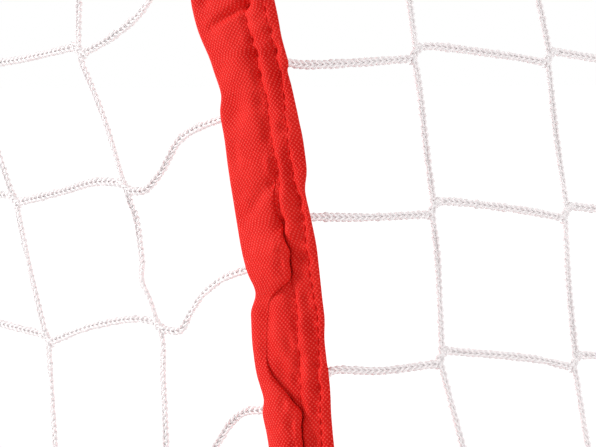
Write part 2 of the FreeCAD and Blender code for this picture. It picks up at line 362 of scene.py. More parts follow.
def cloth_material(name, gap_painted_shade, face, light):
    """Plain-woven cloth: a raised dot where threads cross over, drawn from the cloth's own coordinates. The
    dots carry a painted highlight in their lighter colour, and the gaps between threads carry painted shade
    in their darker colour.
    """
    material, tree, shader = new_material(name)
    cloth = add_node(tree, "Attribute", attribute_name="cloth").outputs["Vector"]
    threads = add_node(tree, "SeparateXYZ", Vector=cloth).outputs
    drift = maths(tree, "SUBTRACT", noise(tree, cloth, scale=0.22, detail=2.0), 0.5)
    wander = maths(tree, "MULTIPLY", drift, THREAD_WANDER)
    turn = math.pi / THREAD_PITCH
    across = maths(tree, "SINE", maths(tree, "MULTIPLY", maths(tree, "ADD", threads["X"], wander), turn))
    along = maths(tree, "SINE", maths(tree, "MULTIPLY", threads["Y"], turn))
    dots = maths(tree, "MULTIPLY", across, along)
    # Mask of the raised dots: the dots take the painted highlight colour and a smoother roughness, and the
    # gaps take the painted shade colour.
    raised_dots_highlight = spread(tree, dots, 0.12, 0.86)
    patches = spread(tree, noise(tree, cloth, scale=0.09, detail=3.0), 0.35, 0.65)
    low = mix_colour(tree, patches, gap_painted_shade, tuple(0.5 * (a + b) for a, b in zip(gap_painted_shade, face)))
    high = mix_colour(tree, noise(tree, cloth, scale=3.2, detail=2.0), face, light)
    set_inputs(tree, shader, Base_Color=mix_colour(tree, raised_dots_highlight, low, high),
               Roughness=spread(tree, raised_dots_highlight, 0.0, 1.0, 0.72, 0.5),
               Normal=bump(tree, dots, strength=0.55, distance=0.00016),
               Sheen_Weight=0.08, Sheen_Roughness=0.3, Sheen_Tint=srgb(255, 150, 135), Specular_IOR_Level=0.1)
    return material


def yarn_material(name, light, dark, streak_scale, gloss, depth):
    """Bundled fine filaments: faint streaks and a little shade from cord to cord."""
    material, tree, shader = new_material(name)
    shade = add_node(tree, "Attribute", attribute_name="shade").outputs["Fac"]
    streaks = noise(tree, object_place(tree), streak_scale, detail=3.0, roughness=0.6)
    level = maths(tree, "ADD", maths(tree, "MULTIPLY", shade, CORD_SHADE), streaks)
    level = maths(tree, "MINIMUM", maths(tree, "MAXIMUM", level, 0.0), 1.0)
    set_inputs(tree, shader, Base_Color=mix_colour(tree, level, dark, light), Roughness=0.48,
               Normal=bump(tree, streaks, strength=0.35, distance=0.0001), Specular_IOR_Level=gloss,
               Subsurface_Weight=depth, Subsurface_Radius=(0.0012, 0.0011, 0.0011), Subsurface_Scale=1.0)
    return material


def paint_material(name, colour, worn):
    """Baked enamel on steel: faint orange-peel, small rubs and a thin clear skin."""
    material, tree, shader = new_material(name)
    place = object_place(tree)
    rubbed = spread(tree, noise(tree, place, scale=38.0, detail=6.0, roughness=0.72), 0.64, 0.74)
    darker = tuple(c * 0.80 for c in colour[:3]) + (1.0,)
    base = mix_colour(tree, noise(tree, place, scale=7.0, detail=3.0), darker, colour)
    base = mix_colour(tree, maths(tree, "MULTIPLY", rubbed, WORN_SHARE), base, worn)
    set_inputs(tree, shader, Base_Color=base, Roughness=spread(tree, rubbed, 0.0, 1.0, 0.27, 0.55),
               Normal=bump(tree, noise(tree, place, scale=420.0, detail=2.0), strength=0.12, distance=0.0002),
               Coat_Weight=0.25, Coat_Roughness=0.2)
    return material


def moulded_material(name, dark, light, grain, smooth, rough, strength):
    """Moulded plastic or rubber: spark-eroded grain and soft scuffs."""
    material, tree, shader = new_material(name)
    place = object_place(tree)
    pores = add_node(tree, "TexVoronoi", Vector=place, Scale=grain).outputs["Distance"]
    scuffs = noise(tree, place, scale=45.0, detail=5.0, roughness=0.65)
    set_inputs(tree, shader, Base_Color=mix_colour(tree, scuffs, dark, light),
               Roughness=spread(tree, scuffs, 0.0, 1.0, smooth, rough),
               Normal=bump(tree, pores, strength, distance=0.0002))
    return material


def steel_material(name, dark, light):
    """Zinc-plated steel with a fine swirl."""
    material, tree, shader = new_material(name)
    swirl = noise(tree, object_place(tree), scale=900.0, detail=4.0)
    set_inputs(tree, shader, Base_Color=mix_colour(tree, swirl, dark, light),
               Roughness=spread(tree, swirl, 0.0, 1.0, 0.25, 0.5), Metallic=1.0)
    return material


# Red cloth colours: painted shade for the gaps between threads, the cloth's face, and a painted highlight for
# the raised dots.
red_cloth = cloth_material("red_cloth", srgb(213, 16, 10), srgb(234, 40, 32), srgb(252, 96, 86))
red_thread = yarn_material("red_thread", srgb(226, 30, 24), srgb(196, 14, 12), 1500.0, 0.08, 0.0)
white_yarn = yarn_material("white_yarn", srgb(255, 252, 252), srgb(252, 244, 245), 2200.0, 0.4, 0.12)
red_paint = paint_material("red_paint", srgb(206, 22, 24), srgb(120, 24, 22))
black_plastic = moulded_material("black_plastic", srgb(26, 26, 28), srgb(44, 44, 47), 1500.0, 0.42, 0.6, 0.25)
black_rubber = moulded_material("black_rubber", srgb(24, 24, 24), srgb(52, 50, 48), 900.0, 0.75, 0.95, 0.4)
zinc_steel = steel_material("zinc_steel", srgb(150, 152, 156), srgb(206, 207, 210))

# Mesh helpers


def add_object(name, verts, faces, material, attributes=None):
    """Smooth mesh object from points in millimetres, with optional point attributes."""
    mesh = bpy.data.meshes.new(name)
    mesh.from_pydata((np.asarray(verts) * MM).tolist(), [], [tuple(int(i) for i in f) for f in faces])
    mesh.update()
    mesh.polygons.foreach_set("use_smooth", [True] * len(mesh.polygons))
    for key, values in (attributes or {}).items():
        values = np.asarray(values, np.float32)
        kind, field_name = ("FLOAT", "value") if values.ndim == 1 else ("FLOAT_VECTOR", "vector")
        mesh.attributes.new(key, kind, "POINT").data.foreach_set(field_name, values.ravel())
    mesh.materials.append(material)
    obj = bpy.data.objects.new(name, mesh)
    bpy.context.scene.collection.objects.link(obj)
    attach(obj, "root")
    return obj


def grid_faces(rows, columns, wrap=False):
    """Four-sided faces between neighbouring rings of points."""
    i, j = np.meshgrid(np.arange(rows - 1), np.arange(columns if wrap else columns - 1), indexing="ij")
    k = (j + 1) % columns
    quads = (i * columns + j, i * columns + k, (i + 1) * columns + k, (i + 1) * columns + j)
    return np.stack(quads, axis=-1).reshape(-1, 4)


def ease(f):
    return f * f * (3 - 2 * f)


def along_lengths(points):
    """Distance of each point along the line through them."""
    return np.concatenate([[0], np.cumsum(np.linalg.norm(np.diff(points, axis=0), axis=1))])


def through(points, k, f):
    """Point of the smooth curve through the given points, at the share f of its stretch k."""
    p0, p1, p2, p3 = points[k], points[k + 1], points[k + 2], points[k + 3]
    return 0.5 * (2 * p1 + (p2 - p0) * f + (2 * p0 - 5 * p1 + 4 * p2 - p3) * f ** 2
                  + (3 * p1 - p0 - 3 * p2 + p3) * f ** 3)


def with_ends(points):
    """Points with one more at each end, so that the curve through them starts and ends at the given ones."""
    return np.vstack([2 * points[0] - points[1], points, 2 * points[-1] - points[-2]])


def smooth_path(points, step):
    """Points at even steps along a smooth curve through the given points, and its length."""
    points = np.asarray(points, float)
    dense = points
    if len(points) > 2:
        ends = with_ends(points)
        shares = np.linspace(0, 1, 12, endpoint=False)
        dense = np.array([through(ends, k, f) for k in range(len(points) - 1) for f in shares] + [points[-1]])
    lengths = along_lengths(dense)
    count = max(2, int(round(lengths[-1] / step)) + 1)
    at = np.linspace(0, lengths[-1], count)
    return np.stack([np.interp(at, lengths, dense[:, i]) for i in range(3)], axis=1), lengths[-1]


def smooth_curve(points, count):
    """The given count of points on the smooth curve through a line of points."""
    ends = with_ends(points)
    stretches = len(points) - 1
    found = []
    for value in np.linspace(0, 1, count)[:-1]:
        k = min(int(value * stretches), stretches - 1)
        found.append(through(ends, k, value * stretches - k))
    return np.array(found + [points[-1]])


def smooth_noise(length, step, scale, seed):
    """Soft random values along a line, about -1 to 1, changing over one scale."""
    rng = np.random.default_rng(seed)
    knots = rng.normal(0, 0.6, int(length / scale) + 4)
    x = np.arange(0, length + step, step) / scale
    i = np.clip(x.astype(int), 0, len(knots) - 2)
    f = ease(x - i)
    return knots[i] * (1 - f) + knots[i + 1] * f


def field(x, y, size_x, size_y, seed):
    """Smooth random field over two directions, about -1 to 1."""
    rng = np.random.default_rng(seed)
    x = (x - x.min()) / size_x
    y = (y - y.min()) / size_y
    grid = rng.normal(0, 0.5, (int(x.max()) + 3, int(y.max()) + 3))
    i, j = x.astype(int), y.astype(int)
    f, g = ease(x - i), ease(y - j)
    near = grid[i, j] * (1 - f) + grid[i + 1, j] * f
    far = grid[i, j + 1] * (1 - f) + grid[i + 1, j + 1] * f
    return near * (1 - g) + far * g


def ripples(x, y, waves, seed):
    """Sum of random fields, each given by its slant, its size along x and y, its seed and its height."""
    return sum(height * field(x + slant * y, y, size_x, size_y, seed + extra)
               for slant, size_x, size_y, extra, height in waves)


def ring_tube(centres, sideways, outward, radii, sides):
    """Tubes of rings: centres [n, rings, 3] and radii [n, rings], with one facing per tube."""
    n, rings, _ = centres.shape
    angle = np.arange(sides) / sides * 2 * math.pi
    a = sideways[:, None, None, :] * np.cos(angle)[None, None, :, None]
    b = outward[:, None, None, :] * np.sin(angle)[None, None, :, None]
    verts = centres[:, :, None, :] + (a + b) * radii[:, :, None, None]
    starts = np.arange(n) * rings * sides
    faces = (grid_faces(rings, sides, wrap=True)[None] + starts[:, None, None]).reshape(-1, 4)
    caps = []
    for base in starts:
        caps.append(tuple(base + i for i in range(sides))[::-1])
        caps.append(tuple(base + (rings - 1) * sides + i for i in range(sides)))
    return verts.reshape(-1, 3), list(map(tuple, faces)) + caps


# Cords: knitted chains whose loops are paired legs in a V, over a straight laid-in yarn

STITCH_PITCH = 2.0
LEG_POINTS = np.array([
    # along, sideways, outward, radius
    (-0.10, 0.14, 0.22, 0.26),
    (0.62, 0.42, 0.46, 0.42),
    (1.45, 0.78, 0.34, 0.47),
    (2.15, 0.88, -0.06, 0.42),
    (2.75, 0.48, -0.48, 0.28),
])
LEG_SIDES = 6
LEG_SPREAD = 0.06
CORE_DEPTH = 0.30
CORE_RADIUS = 0.57
TWIST_STEP = 0.21
TWIST_DRIFT = 0.16
PLAIN_STEP = 1.0
PLAIN_SIDES = 8
PLAIN_WIDTHS = (1.04, 0.84)  # shares of the half width at every other ring
PLAIN_DEPTHS = (0.70, 0.86)
PLAIN_TWIST = 0.4
PLAIN_TWIST_STEP = 0.05
CORD_HALF = 1.32
FULL_TURN = 6.28


def cord_path(points, step):
    """Even steps along a cord, with at least three points."""
    path, length = smooth_path(points, step)
    if len(path) < 3:
        path, _ = smooth_path(points, length / 3)
    return path


def cord_frames(path, normal):
    tangents = np.gradient(path, axis=0)
    tangents /= np.linalg.norm(tangents, axis=1)[:, None]
    side = np.cross(normal[None, :], tangents)
    side /= np.linalg.norm(side, axis=1)[:, None]
    return tangents, side, np.cross(tangents, side)


def turned(side, out, angle):
    c, s = np.cos(angle)[:, None], np.sin(angle)[:, None]
    return side * c + out * s, out * c - side * s


class Yarn:
    """Collects the loops of many cords into one mesh."""

    def __init__(self):
        self.verts = []
        self.faces = []
        self.shade = []
        self.count = 0

    def add(self, verts, faces, shade):
        self.verts.append(verts)
        self.faces.extend([tuple(i + self.count for i in f) for f in faces])
        self.shade.append(np.full(len(verts), shade))
        self.count += len(verts)

    def chain(self, points, normal, rng, twist=0.35, size=1.0, shade=0.0, roll=0.0):
        """Full knitted chain along a path."""
        path = cord_path(points, STITCH_PITCH)
        tangents, side, out = cord_frames(path, normal)
        drift = np.cumsum(rng.normal(0, TWIST_DRIFT, len(path)))
        sway = np.sin(np.arange(len(path)) * TWIST_STEP + rng.uniform(0, FULL_TURN))
        side, out = turned(side, out, roll + twist * sway + 0.5 * (drift - drift.mean()))
        if len(path) > 3:
            path, tangents, side, out = path[:-1], tangents[:-1], side[:-1], out[:-1]
        jitter = 1 + rng.normal(0, LEG_SPREAD, (len(path), 1))
        for sign in (-1, 1):
            legs = LEG_POINTS * [1, sign, 1, 1]
            centres = (path[:, None, :]
                       + tangents[:, None, :] * (legs[None, :, 0:1] * STITCH_PITCH / 2.0)
                       + side[:, None, :] * (legs[None, :, 1:2] * jitter[:, :, None] * size)
                       + out[:, None, :] * (legs[None, :, 2:3] * size))
            radii = np.repeat(legs[None, :, 3] * size, len(path), axis=0) * jitter
            self.add(*ring_tube(centres, side, out, radii, LEG_SIDES), shade)
        core = path - out * CORE_DEPTH * size
        middle = len(path) // 2
        radii = np.full((1, len(path)), CORE_RADIUS * size)
        self.add(*ring_tube(core[None], side[middle][None], out[middle][None], radii, LEG_SIDES), shade)

    def plain(self, points, normal, rng, width=CORD_HALF, shade=0.0):
        """Cord with the outline of the chain, for the nets outside the picture and for border cords."""
        path = cord_path(points, PLAIN_STEP)
        _, side, out = cord_frames(path, normal)
        sway = np.sin(np.arange(len(path)) * PLAIN_TWIST_STEP + rng.uniform(0, FULL_TURN))
        side, out = turned(side, out, PLAIN_TWIST * sway)
        loop = np.arange(len(path)) % 2 == 0
        ring = np.arange(PLAIN_SIDES) / PLAIN_SIDES * 2 * math.pi
        half = (width * np.where(loop, *PLAIN_WIDTHS))[:, None, None]
        deep = (width * np.where(loop, *PLAIN_DEPTHS))[:, None, None]
        verts = (path[:, None, :] + side[:, None, :] * (np.cos(ring)[None, :, None] * half)
                 + out[:, None, :] * (np.sin(ring)[None, :, None] * deep))
        faces = [tuple(f) for f in grid_faces(len(path), PLAIN_SIDES, wrap=True)]
        faces.append(tuple(range(PLAIN_SIDES))[::-1])
        faces.append(tuple((len(path) - 1) * PLAIN_SIDES + i for i in range(PLAIN_SIDES)))
        self.add(verts.reshape(-1, 3), faces, shade)

    def build(self, name, material):
        return add_object(name, np.vstack(self.verts), self.faces, material,
                          attributes={"shade": np.concatenate(self.shade)})


# Nets: even grids of joints, moved in the pictured area to where the photograph shows them.
# Joints are counted down from the top net, and each row of pixels starts at the tape. Routes are
# keyed by kind, by cell or column counted from the tape, and by row counted down.

BACK_JOINTS = {
    4: ((415, 53), (549, 57)),
    5: ((433, 208), (566, 212)),
    6: ((441, 357), (575, 361)),
}
BACK_ROUTES = {
    ("row", 0, 4): ((350, 63), (300, 64.5)),
    ("row", 0, 5): ((370, 217.5), (318, 217)),
    ("row", 0, 6): ((382, 371), (336, 370)),
    ("row", 1, 4): ((505, 55.5), (442, 47)),
    ("row", 1, 5): ((521, 210), (457, 202)),
    ("row", 1, 6): ((530, 358.5), (464, 352)),
    ("column", 0, 4): ((426, 148), (420, 95)),
    ("column", 0, 5): ((439.5, 305), (437, 255)),
}
SIDE_JOINTS = {
    3: ((196, -38), (79, 50), (-32, 62)),
    4: ((240, 112), (125, 187), (14, 199)),
    5: ((262, 265), (158, 325), (47, 338)),
    6: ((280, 400), (167, 462), (58, 478)),
}
SIDE_ROUTES = {
    ("row", 1, 3): ((95, 47), (110, 38), (125, 27), (139, 14), (158, -10)),
    ("row", 1, 4): ((144, 190), (158, 176), (167, 161), (177, 143), (190, 132), (205, 125), (221, 119)),
    ("row", 1, 5): ((179, 330), (190, 314), (201, 297), (218, 282), (234, 274), (245, 270)),
    ("row", 1, 6): ((190, 466), (206, 457), (218, 442), (230, 424), (245, 412), (264, 409)),
    ("row", 2, 4): ((60, 192), (95, 182)),
    ("row", 2, 5): ((90, 327), (131, 319)),
    ("column", 1, 3): ((118, 165), (106, 125), (92, 88), (82, 64)),
    ("column", 1, 4): ((151, 303), (142, 281), (142, 262), (137, 224), (130, 203)),
    ("column", 1, 5): ((165, 415), (163, 376), (163, 348)),
}
JOINT_PULL = 62.0         # how far a moved joint takes its neighbours with it
JOINT_WANDER = 0.8
JOINT_REST = 0.6          # how strongly a joint far from moved ones stays in its place
JOINT_OVERLAP = 0.9
JOINT_SINK = 0.55
JOINT_HALF = 1.9
SHORT_CORD = 15           # a shorter cord has no sag
CORD_END = net_edge + 3.0  # where a cord ends under a flange
SIDE_END = 9.0             # where a side net's row ends in the rear tape
TUCK_BEND = (1.0, 3.4)     # across and out of the corner line, where a back row turns into the tape
TUCK_END = (11.0, 4.8)
TUCK_EDGE = (13.0, 4.8)
EDGE_HALF = 1.5
TUCK_EDGE_HALF = 1.4


def quad_point(corners, u, v):
    low = corners[0] + (corners[1] - corners[0]) * u
    high = corners[3] + (corners[2] - corners[3]) * u
    return low + (high - low) * v


def even_lines(length, first, last):
    """Shares of a length at the net's columns or rows, from the first to the last."""
    count = max(1, round((last - first) / mesh_pitch))
    return [(first + (last - first) * i / count) / length for i in range(count + 1)]


class Panel:
    """One net: joints on a grid, rows and columns of cord between them, and a cord round its edge."""

    def __init__(self, corners, columns, rows, ends, normal, jog, slack, seed, side):
        self.corners = [np.asarray(c, float) for c in corners]
        self.columns, self.rows, self.ends, self.normal = columns, rows, ends, normal
        self.jog, self.slack, self.side = jog, slack, side
        self.rng = np.random.default_rng(seed)
        self.joints = {}
        self.fixed = {}
        self.routes = {}
        self.tucked = False

    def follow_photo(self, joints, routes):
        """Puts the pictured joints and cords where the photograph has them."""
        last, count = len(self.columns) - 1, len(self.rows)
        for down, pixels in joints.items():
            for back, pixel in enumerate(pixels):
                self.fixed[last - back, count - down] = on_plane(*pixel, hero_top, self.normal)
        for (kind, back, down), pixels in routes.items():
            line = last - back + (1 if kind == "row" else 0)
            route = [on_plane(*pixel, hero_top, self.normal) for pixel in pixels]
            self.routes[kind, line, count - down] = route

    def place_joints(self):
        plain = {}
        for i, u in enumerate(self.columns):
            for j, v in enumerate(self.rows):
                plain[i, j] = quad_point(self.corners, u, v)
        moves = [(plain[key], place - plain[key]) for key, place in self.fixed.items()]
        across = unit(self.corners[1] - self.corners[0])
        up = unit(self.corners[3] - self.corners[0])
        for key, place in plain.items():
            shift = np.zeros(3)
            total = JOINT_REST
            for origin, move in moves:
                weight = math.exp(-np.sum((place - origin) ** 2) / (2 * JOINT_PULL ** 2))
                shift += move * weight
                total += weight
            wander = across * self.rng.normal(0, JOINT_WANDER) + up * self.rng.normal(0, JOINT_WANDER)
            self.joints[key] = self.fixed.get(key, place + shift / total + wander)

    def cord(self, yarn, start, end, route, level):
        """One cord between joints: along its route, or with a free sag that grows with its level share."""
        middle = (start + end) / 2
        span = np.linalg.norm(end - start)
        if route is None:
            sag = -UP * self.slack * level * span / mesh_pitch
            sag += self.normal * self.rng.normal(0, 0.25 * self.slack)
            bow = np.cross(self.normal, unit(end - start)) * self.rng.normal(0, 0.45)
            route = [middle + sag + bow] if span > SHORT_CORD else []
        points = [start] + list(route) + [end]
        shade = self.rng.uniform(-1, 1)
        seen = pictured(middle, self.side) or pictured(start, self.side, 0) or pictured(end, self.side, 0)
        draw = yarn.chain if seen else yarn.plain
        draw(points, self.normal, self.rng, shade=shade)

    def joint(self, yarn, place):
        reach = self.jog + unit(self.jog) * JOINT_OVERLAP
        if not pictured(place, self.side):
            yarn.plain([place - reach, place + reach], self.normal, self.rng, width=JOINT_HALF, shade=0.2)
            return
        high_part = [place - reach, place, place + reach]
        yarn.chain(high_part, self.normal, self.rng, size=1.12, twist=0.1, shade=0.4)
        low = place - self.normal * JOINT_SINK
        low_part = [low + reach * 0.8, low, low - reach * 0.8]
        yarn.chain(low_part, self.normal, self.rng, size=1.05, twist=0.2, roll=1.2)

    def knit(self, yarn):
        nu, nv = len(self.columns), len(self.rows)
        u0, u1, v0, v1 = self.ends
        for place in self.joints.values():
            self.joint(yarn, place)
        for j in range(nv):
            for i in range(nu + 1):
                start, end = (quad_point(self.corners, u, self.rows[j]) for u in (u0, u1))
                if i > 0:
                    start = self.joints[i - 1, j] + self.jog
                if i < nu:
                    end = self.joints[i, j] - self.jog
                route = self.routes.get(("row", i, j))
                if self.tucked and i in (0, nu):
                    if route is None:
                        route = [(start + end) / 2 - UP * 0.4]
                    _, _, across, out, _ = seam_frame(-1 if i == 0 else 1)
                    edge = start if i == 0 else end
                    bend, inside = (edge + across * a + out * b for a, b in (TUCK_BEND, TUCK_END))
                    start, end = (inside, end) if i == 0 else (start, inside)
                    route = [bend] + route if i == 0 else route + [bend]
                self.cord(yarn, start, end, route, 1.0)
        low_end = -self.jog if self.jog[2] > 0 else self.jog
        for i, u in enumerate(self.columns):
            for j in range(nv + 1):
                start, end = (quad_point(self.corners, u, v) for v in (v0, v1))
                if j > 0:
                    start = self.joints[i, j - 1] - low_end * 0.2
                if j < nv:
                    end = self.joints[i, j] + low_end * 0.4
                self.cord(yarn, start, end, self.routes.get(("column", i, j)), 0.0)

    def edge(self, yarn, insets):
        """Cord round the panel's border, inside its sleeves and tapes. A side whose inset is 0 has none."""
        middle = sum(self.corners) / 4
        normal = np.cross(self.corners[1] - self.corners[0], self.corners[3] - self.corners[0])
        lines = []
        for k in range(4):
            a, b = self.corners[k], self.corners[(k + 1) % 4]
            inward = unit(np.cross(normal, b - a))
            if inward @ (middle - a) < 0:
                inward = -inward
            lines.append((a + inward * insets[k], b + inward * insets[k]))
        points = []
        for k in range(4):
            (a, b), (c, d) = lines[k - 1], lines[k]
            first, second = b - a, d - c
            n = np.cross(first, second)
            points.append(a + first * (np.cross(c - a, second) @ n) / (n @ n))
        for k in range(4):
            if insets[k] > 0:
                yarn.plain([points[k], points[(k + 1) % 4]], self.normal, self.rng, width=EDGE_HALF)
        for side in (-1, 1) if self.tucked else ():
            high, down, across, out, length = seam_frame(side)
            lip = high + across * TUCK_EDGE[0] + out * TUCK_EDGE[1]
            ends = [lip + down * tape_end, lip + down * (length - tape_end)]
            yarn.plain(ends, out, self.rng, width=TUCK_EDGE_HALF)


def make_back_net():
    low_left, high_left = corner_line(-1)
    low_right, high_right = corner_line(1)
    width = (np.linalg.norm(low_right - low_left) + np.linalg.norm(high_right - high_left)) / 2
    height = np.linalg.norm(high_left - low_left)
    up, outward = back_plane()
    columns = even_lines(width, back_edge_cell, width - back_edge_cell)
    rows = even_lines(height, 0, height)[1:-1]
    jog = vec(1.65, 0, 0) - up * 1.8
    panel = Panel([low_left, low_right, high_right, high_left], columns, rows,
                  (0.0, 1.0, CORD_END / height, 1 - CORD_END / height), outward, jog, 0.5, 11, 1)
    panel.tucked = True
    panel.follow_photo(BACK_JOINTS, BACK_ROUTES)
    return panel


def make_side_net(side):
    points = POINTS[side]
    along, outward = side_plane(side)
    low_corner, high_corner = corner_line(side)
    shift = outward * net_offset
    corners = [points["front_base"] + shift, low_corner, high_corner, points["front_top"] + shift]
    width = (np.linalg.norm(low_corner - corners[0]) + np.linalg.norm(high_corner - corners[3])) / 2
    height = np.linalg.norm(high_corner - low_corner)
    columns = even_lines(width, side_post_cell, width - side_first_column)
    count = int((height - side_row_drop - hole_edge) / mesh_pitch)
    rows = [1 - (side_row_drop + mesh_pitch * i) / height for i in range(count, 0, -1)]
    ends = (CORD_END / width, 1 - SIDE_END / width, CORD_END / height, 1 - CORD_END / height)
    panel = Panel(corners, columns, rows, ends, outward, along * 1.6 - UP * 1.1, 1.6, 23 + side, side)
    if side == 1:
        panel.follow_photo(SIDE_JOINTS, SIDE_ROUTES)
    return panel


def make_top_net():
    shift = UP * net_offset
    corners = [POINTS[-1]["front_top"] + shift, POINTS[1]["front_top"] + shift,
               POINTS[1]["rear_top"] + shift, POINTS[-1]["rear_top"] + shift]
    width = post_x + shelf_x
    columns = even_lines(width, hole_edge, width - hole_edge)[1:-1]
    rows = even_lines(shelf_depth, hole_edge, shelf_depth - hole_edge)[1:-1]
    ends = (CORD_END / width, 1 - CORD_END / width, CORD_END / shelf_depth, 1 - CORD_END / shelf_depth)
    return Panel(corners, columns, rows, ends, UP, vec(1.6, 0.9, 0), 0.9, 31, 0)


# Rear corner tapes. Their lines in the photograph are given as pixels.

RIGHT_EDGE = (
    (273, 0), (279, 31), (282, 44), (287, 63), (286, 71), (290, 87), (297, 120), (302, 149), (305, 171),
    (304, 192), (309, 215), (315, 244), (318, 269), (321, 297), (323.5, 320), (323, 341), (325, 361),
    (327, 373), (329, 397), (330, 417), (333, 447))
OUTER_ROW = (
    (262, 0), (269, 34), (272, 50), (276, 69), (280, 86), (283, 109), (286, 126), (289, 164), (295, 198),
    (300.7, 217), (303.6, 234), (306.4, 257), (309, 275), (314, 309), (316, 331), (316, 358), (316.5, 381),
    (319, 402), (320, 424), (321, 447))
INNER_ROW = (
    (242, 0), (246.5, 21), (252, 39), (256, 56), (258.6, 74), (265, 91), (268, 109), (269.3, 129),
    (276.4, 161), (278, 178), (279.3, 205), (282, 222), (288, 248), (290, 268), (297, 309), (298, 338),
    (299, 362), (301, 388), (301.4, 421), (302, 447))
LEFT_EDGE = (
    (193, 0), (195, 12), (201, 34), (211, 57), (216, 71), (223, 94), (222, 114), (227, 141), (230, 166),
    (235, 198), (239, 225), (244, 251), (250, 273), (258, 292), (254, 310), (254, 322), (255, 346),
    (259, 371), (267, 397), (265, 412), (267, 427), (271, 447))
# Rolled edge: pixel of its rim, and how high the cloth left of the rim stands over the lip, from 0 to 1
ROLL = (
    (232, 0, 0.0), (246, 60, 0.0), (258, 110, 0.0), (269, 145, 0.0), (273, 165, 0.03), (271, 180, 0.06),
    (270, 192, 0.1), (273, 208, 0.2), (278, 222, 0.45), (284, 236, 0.8), (289, 247, 1.0), (291.5, 258, 1.0),
    (291, 270, 0.95), (287, 280, 0.75), (278, 289, 0.4), (270, 297, 0.12), (265, 306, 0.03), (263, 320, 0.0),
    (263, 335, 0.0), (263, 350, 0.0), (265, 363, 0.16), (271, 375, 0.45), (280, 387, 0.6), (289, 400, 0.8),
    (298, 412, 1.0), (304, 425, 1.0), (307, 438, 1.0), (308, 450, 1.0))
# Puckers of the stitched band and dips of the cloth beside it: pixel, depth, half length and half width
PUCKERS = (
    (261, 13, 0.8, 2.0, 2.0), (268, 30, 0.8, 1.6, 1.2), (270, 50, 1.5, 1.8, 1.6),
    (275, 76, 1.7, 3.6, 1.3), (279, 98, 1.0, 3.0, 2.2), (281, 128, 1.7, 2.3, 1.8),
    (286, 163, 1.2, 3.5, 1.5), (291, 186, 0.7, 2.0, 1.3), (294.5, 201, 1.4, 1.8, 1.4),
    (297, 218, 1.5, 2.2, 1.5), (299, 236, 1.0, 2.4, 1.8), (300, 262, 0.9, 4.0, 2.0),
    (305, 300, 1.2, 3.0, 1.6), (310, 330, 1.3, 4.5, 1.5), (312.5, 366, 1.7, 3.4, 1.3),
    (314, 388, 1.3, 2.0, 1.2), (314, 410, 1.1, 2.5, 1.3), (311, 440, 1.6, 3.5, 1.6),
    (242, 5, 0.6, 1.5, 1.3), (251.5, 38, 0.8, 1.3, 1.0), (253.5, 53, 1.3, 1.5, 1.2),
    (257.5, 75, 1.2, 1.8, 1.3), (260, 104, 0.9, 2.8, 1.4), (265.5, 134, 1.2, 2.5, 1.1),
    (273, 170, 1.2, 2.6, 1.0), (270, 184, 0.9, 1.6, 1.0), (277, 205, 0.9, 2.2, 1.0),
    (281, 222, 1.3, 2.0, 1.3), (290, 300, 0.5, 3.0, 1.2), (294, 324, 0.8, 1.8, 1.0),
    (290, 345, 0.7, 3.0, 1.4), (295, 380, 0.9, 2.0, 1.2), (290, 402, 0.8, 2.4, 1.4),
    (297, 425, 0.9, 2.0, 1.2), (205, 2, 1.2, 1.8, 2.4), (236, 111, 1.7, 5.5, 4.5),
    (237, 155, 0.5, 4.0, 1.8), (269, 318, 0.9, 4.0, 2.4), (268, 346, 0.8, 5.0, 2.4),
    (284, 372, 0.5, 4.0, 2.2))
# Soft creases: pixels, depth and half width
CREASES = (
    (((252, -10), (243, 3), (228, 14), (211, 27)), 1.9, 1.4),
    (((276, 166), (266, 186), (256, 204), (247, 220)), 0.8, 2.2),
    (((262, 322), (270, 345), (284, 372), (292, 392)), 0.5, 3.0))
# Heights over the side net at which the pictured lines lie
EDGE_HEIGHT = 6.0
ROW_HEIGHT = 6.6
FOLD_HEIGHT = 4.8
RIM_HEIGHT = 9.4
PUCKER_HEIGHT = 7.5
CREASE_HEIGHT = 8.0

FINE_FROM, FINE_TO = 158.0, 306.0      # stretch of the seam with small mesh steps
PICTURED_FROM, PICTURED_TO = 160.0, 301.0  # stretch whose puckers are the photograph's
FINE_STEP = 0.4
COARSE_STEP = 1.3
BLEND_LENGTH = 14
PUCKER_SHARE = 0.9
ROLL_HEIGHT = 3.4
EDGE_SHARE = 0.25  # part of the roll's height that is left at the fold
LIP_SHARE = 0.45
LEAN = 0.88        # how far the fold is drawn in for each millimetre that it stands higher
FOLD_ROUND = 2.8
BAND_HEIGHT = 5.3  # height of the cloth at its edge, and how it rises further in
BAND_RISE = 1.8
BAND_RISE_LENGTH = 2.2
BELLY_HEIGHT = 1.5
FOLD_DROP = 2.5
# Lines outside the pictured stretch: distance across (or rise), length and size of their waves, and seed
USUAL = {"edge": (-5.0, 22, 0.7, 1), "outer": (-0.5, 26, 0.5, 2), "inner": (6.0, 30, 0.6, 3),
         "fold": (23.6, 16, 1.3, 4), "rim": (13.0, 26, 5.0, 7), "rise": (0.5, 24, 0.6, 8)}
# Waves of the cloth: slant, length down the tape and across it, seed and height
PLEATS = ((0.55, 3.1, 6.5, 5, 0.75), (-0.35, 5.6, 4.2, 6, 0.75))
BROAD_WAVES = ((0.9, 15.0, 9.0, 7, 0.55), (-0.5, 6.0, 5.0, 8, 0.16))
INSIDE_WAVES = ((0.0, 9.0, 7.0, 9, 0.15),)
# Random puckers: distance between them, depth, half length and half width
PUCKER_GAP = (5.0, 9.5)
PUCKER_DEPTH = (0.6, 1.7)
PUCKER_LENGTH = (1.6, 3.6)
PUCKER_WIDTH = (1.0, 1.9)
PUCKER_MARGIN = 4.0
HEM_WIDTH = 4.0
HEM_HEIGHT = 4.75
INNER_HEIGHT = 2.45
STITCH_STEP = 3.2
TAPE_STITCH = 1.25  # half the length of one stitch on a tape
TURNED_IN, OUTSIDE, INSIDE = 0, 1, 2


